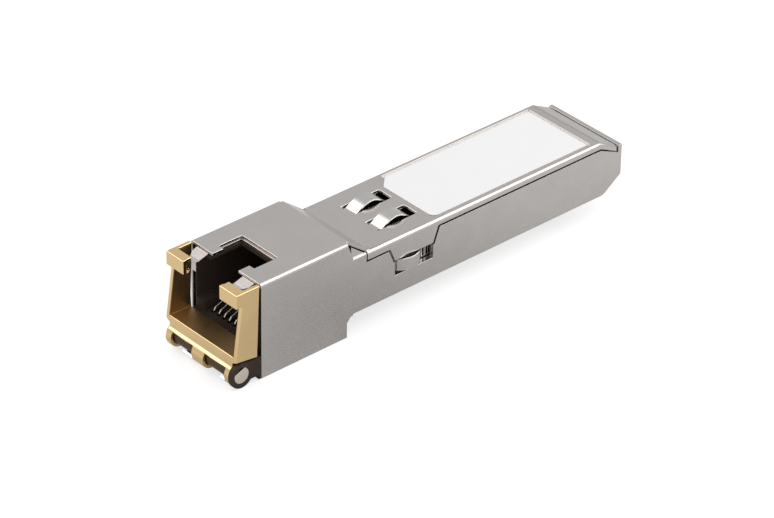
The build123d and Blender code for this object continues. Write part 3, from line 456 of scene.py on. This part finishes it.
def rounded_path(points, radius):
    """The same run of points with each inner corner turned into an arc, in millimetres."""
    path = [points[0]]
    for before, corner, after in zip(points, points[1:], points[2:]):
        into = (before - corner).normalized()
        out = (after - corner).normalized()
        half = into.angle(out) / 2
        reach = radius / math.tan(half)
        reach = min(reach, (before - corner).length * ARC_SHARE, (after - corner).length * ARC_SHARE)
        middle = corner + (into + out).normalized() * (reach / math.cos(half))
        start = corner + into * reach - middle
        end = corner + out * reach - middle
        turn = start.rotation_difference(end)
        for i in range(ARC_STEPS + 1):
            part = Quaternion(turn.axis, turn.angle * i / ARC_STEPS)
            path.append(middle + part @ start)
    path.append(points[-1])
    return path


def tube(name, path, radius, sides, material):
    """A round wire along a path, with slightly domed ends."""
    bm = bmesh.new()
    tangent = (path[1] - path[0]).normalized()
    side = tangent.orthogonal().normalized()
    rings = []
    for i, point in enumerate(path):
        ahead = path[min(i + 1, len(path) - 1)]
        behind = path[max(i - 1, 0)]
        direction = (ahead - behind).normalized()
        turn = tangent.rotation_difference(direction)
        side = (turn @ side).normalized()
        tangent = direction
        other = direction.cross(side)
        ring = []
        for k in range(sides):
            angle = 2 * math.pi * k / sides
            ring.append(bm.verts.new(point + (side * math.cos(angle) + other * math.sin(angle)) * radius))
        rings.append(ring)
    for one, two in zip(rings, rings[1:]):
        for k in range(sides):
            m = (k + 1) % sides
            bm.faces.new((one[k], one[m], two[m], two[k]))
    for ring, point, outward in ((rings[0], path[0], path[0] - path[1]),
                                 (rings[-1], path[-1], path[-1] - path[-2])):
        tip = bm.verts.new(point + outward.normalized() * radius * DOME)
        for k in range(sides):
            bm.faces.new((ring[k], ring[(k + 1) % sides], tip))
    bmesh.ops.recalc_face_normals(bm, faces=bm.faces)
    piece = make_object(name, bm, material)
    smooth(piece)
    return piece


def make_contact_wires():
    first = -WIRE_PITCH * (WIRE_COUNT - 1) / 2
    for i in range(WIRE_COUNT):
        x = first + i * WIRE_PITCH
        corners = rounded_path([Vector((x, y, z)) for y, z in WIRE_PATH], WIRE_BEND)
        path = [at(*corner) for corner in corners]
        piece = tube(f"contact_wire_{i + 1}", path, WIRE_RADIUS * MM, WIRE_SIDES, contact_gold)
        settle(piece, "shell", f"contact_{i + 1}")


def make_coil():
    """Coil with its end turns closed."""
    low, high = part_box("rocker_spring")
    bottom = low.z / MM + COIL_WIRE
    top = high.z / MM - COIL_WIRE
    path = []
    steps = COIL_TURNS * COIL_TURN_STEPS
    for i in range(steps + 1):
        share = i / steps
        angle = 2 * math.pi * COIL_TURNS * share
        rise = (1 - math.cos(math.pi * share)) / 2
        x = COIL_RADIUS * math.cos(angle)
        y = COIL_PLACE + COIL_RADIUS * math.sin(angle)
        path.append(at(x, y, bottom + (top - bottom) * rise))
    piece = tube("rocker_coil", path, COIL_WIRE * MM, COIL_WIRE_SIDES, spring_steel)
    settle(piece, "shell", "rocker_spring")
    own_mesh(piece)


make_contact_wires()
make_coil()


def make_floor():
    bm = bmesh.new()
    bmesh.ops.create_grid(bm, x_segments=1, y_segments=1, size=FLOOR_SIZE * MM / 2)
    material, tree, _ = blank_material("floor_white")
    tree.nodes.clear()
    diffuse = add(tree, "ShaderNodeBsdfDiffuse")
    diffuse.inputs["Color"].default_value = (FLOOR_DIFFUSE, FLOOR_DIFFUSE, FLOOR_DIFFUSE, 1)
    glow = add(tree, "ShaderNodeEmission")
    glow.inputs["Color"].default_value = WHITE
    rays = add(tree, "ShaderNodeLightPath")
    seen = add(tree, "ShaderNodeMath", operation="MULTIPLY")
    seen.inputs[1].default_value = FLOOR_GLOW_SEEN
    place = add(tree, "ShaderNodeNewGeometry")
    away = add(tree, "ShaderNodeVectorMath", operation="DISTANCE")
    away.inputs[1].default_value = at(*FLOOR_SHADE_PLACE)
    tree.links.new(place.outputs["Position"], away.inputs[0])
    mirrored = add(tree, "ShaderNodeMath", operation="MULTIPLY")
    glow_level = spread(tree, away.outputs["Value"], *FLOOR_GLOW_MIRRORED, start=0,
                        end=FLOOR_SHADE_REACH * MM)
    tree.links.new(glow_level, mirrored.inputs[1])
    level = add(tree, "ShaderNodeMath", operation="ADD")
    both = add(tree, "ShaderNodeAddShader")
    output = add(tree, "ShaderNodeOutputMaterial")
    tree.links.new(rays.outputs["Is Camera Ray"], seen.inputs[0])
    tree.links.new(rays.outputs["Is Glossy Ray"], mirrored.inputs[0])
    tree.links.new(seen.outputs[0], level.inputs[0])
    tree.links.new(mirrored.outputs[0], level.inputs[1])
    tree.links.new(level.outputs[0], glow.inputs["Strength"])
    tree.links.new(diffuse.outputs[0], both.inputs[0])
    tree.links.new(glow.outputs[0], both.inputs[1])
    tree.links.new(both.outputs[0], output.inputs["Surface"])
    floor = make_object("floor", bm, material)
    floor.location = (0, 0, cad_box[0].z - FLOOR_DROP * MM)


def make_world():
    world = bpy.data.worlds.new("studio")
    bpy.context.scene.world = world
    world.use_nodes = True
    tree = world.node_tree
    background = tree.nodes["Background"]
    background.inputs["Color"].default_value = WHITE
    rays = add(tree, "ShaderNodeLightPath")
    level = add(tree, "ShaderNodeMix", data_type="FLOAT")
    level.inputs["A"].default_value = WORLD_LEVEL
    level.inputs["B"].default_value = WORLD_LEVEL_SEEN
    tree.links.new(rays.outputs["Is Camera Ray"], level.inputs["Factor"])
    tree.links.new(level.outputs["Result"], background.inputs["Strength"])


def make_light(name, towards, distance, size, watts):
    lamp = bpy.data.lights.new(name, "AREA")
    lamp.shape = "SQUARE"
    lamp.size = size * MM
    lamp.energy = watts
    light = bpy.data.objects.new(name, lamp)
    bpy.context.scene.collection.objects.link(light)
    direction = Vector(towards).normalized()
    light.location = at(*CAMERA_TARGET) + direction * distance * MM
    light.rotation_mode = "QUATERNION"
    light.rotation_quaternion = direction.to_track_quat("Z", "Y")


def make_camera():
    azimuth = math.radians(CAMERA_AZIMUTH)
    elevation = math.radians(CAMERA_ELEVATION)
    roll = math.radians(CAMERA_ROLL)
    back = Vector((math.sin(azimuth) * math.cos(elevation), -math.cos(azimuth) * math.cos(elevation),
                   math.sin(elevation)))
    right = Vector((math.cos(azimuth), math.sin(azimuth), 0))
    up = back.cross(right)
    turned_right = right * math.cos(roll) + up * math.sin(roll)
    turned_up = up * math.cos(roll) - right * math.sin(roll)
    data = bpy.data.cameras.new("camera")
    data.lens = CAMERA_LENS
    data.sensor_width = CAMERA_SENSOR
    data.clip_start, data.clip_end = CAMERA_CLIP
    camera = bpy.data.objects.new("camera", data)
    bpy.context.scene.collection.objects.link(camera)
    axes = Matrix((turned_right, turned_up, back)).transposed().to_4x4()
    place = at(*CAMERA_TARGET) + back * CAMERA_DISTANCE * MM
    camera.matrix_world = Matrix.Translation(place) @ axes
    bpy.context.scene.camera = camera


make_floor()
make_world()
make_light("light_back", **BACK_LIGHT)
make_light("light_left", **LEFT_LIGHT)
make_camera()
bpy.context.scene.view_settings.view_transform = "Standard"

bpy.context.view_layer.update()
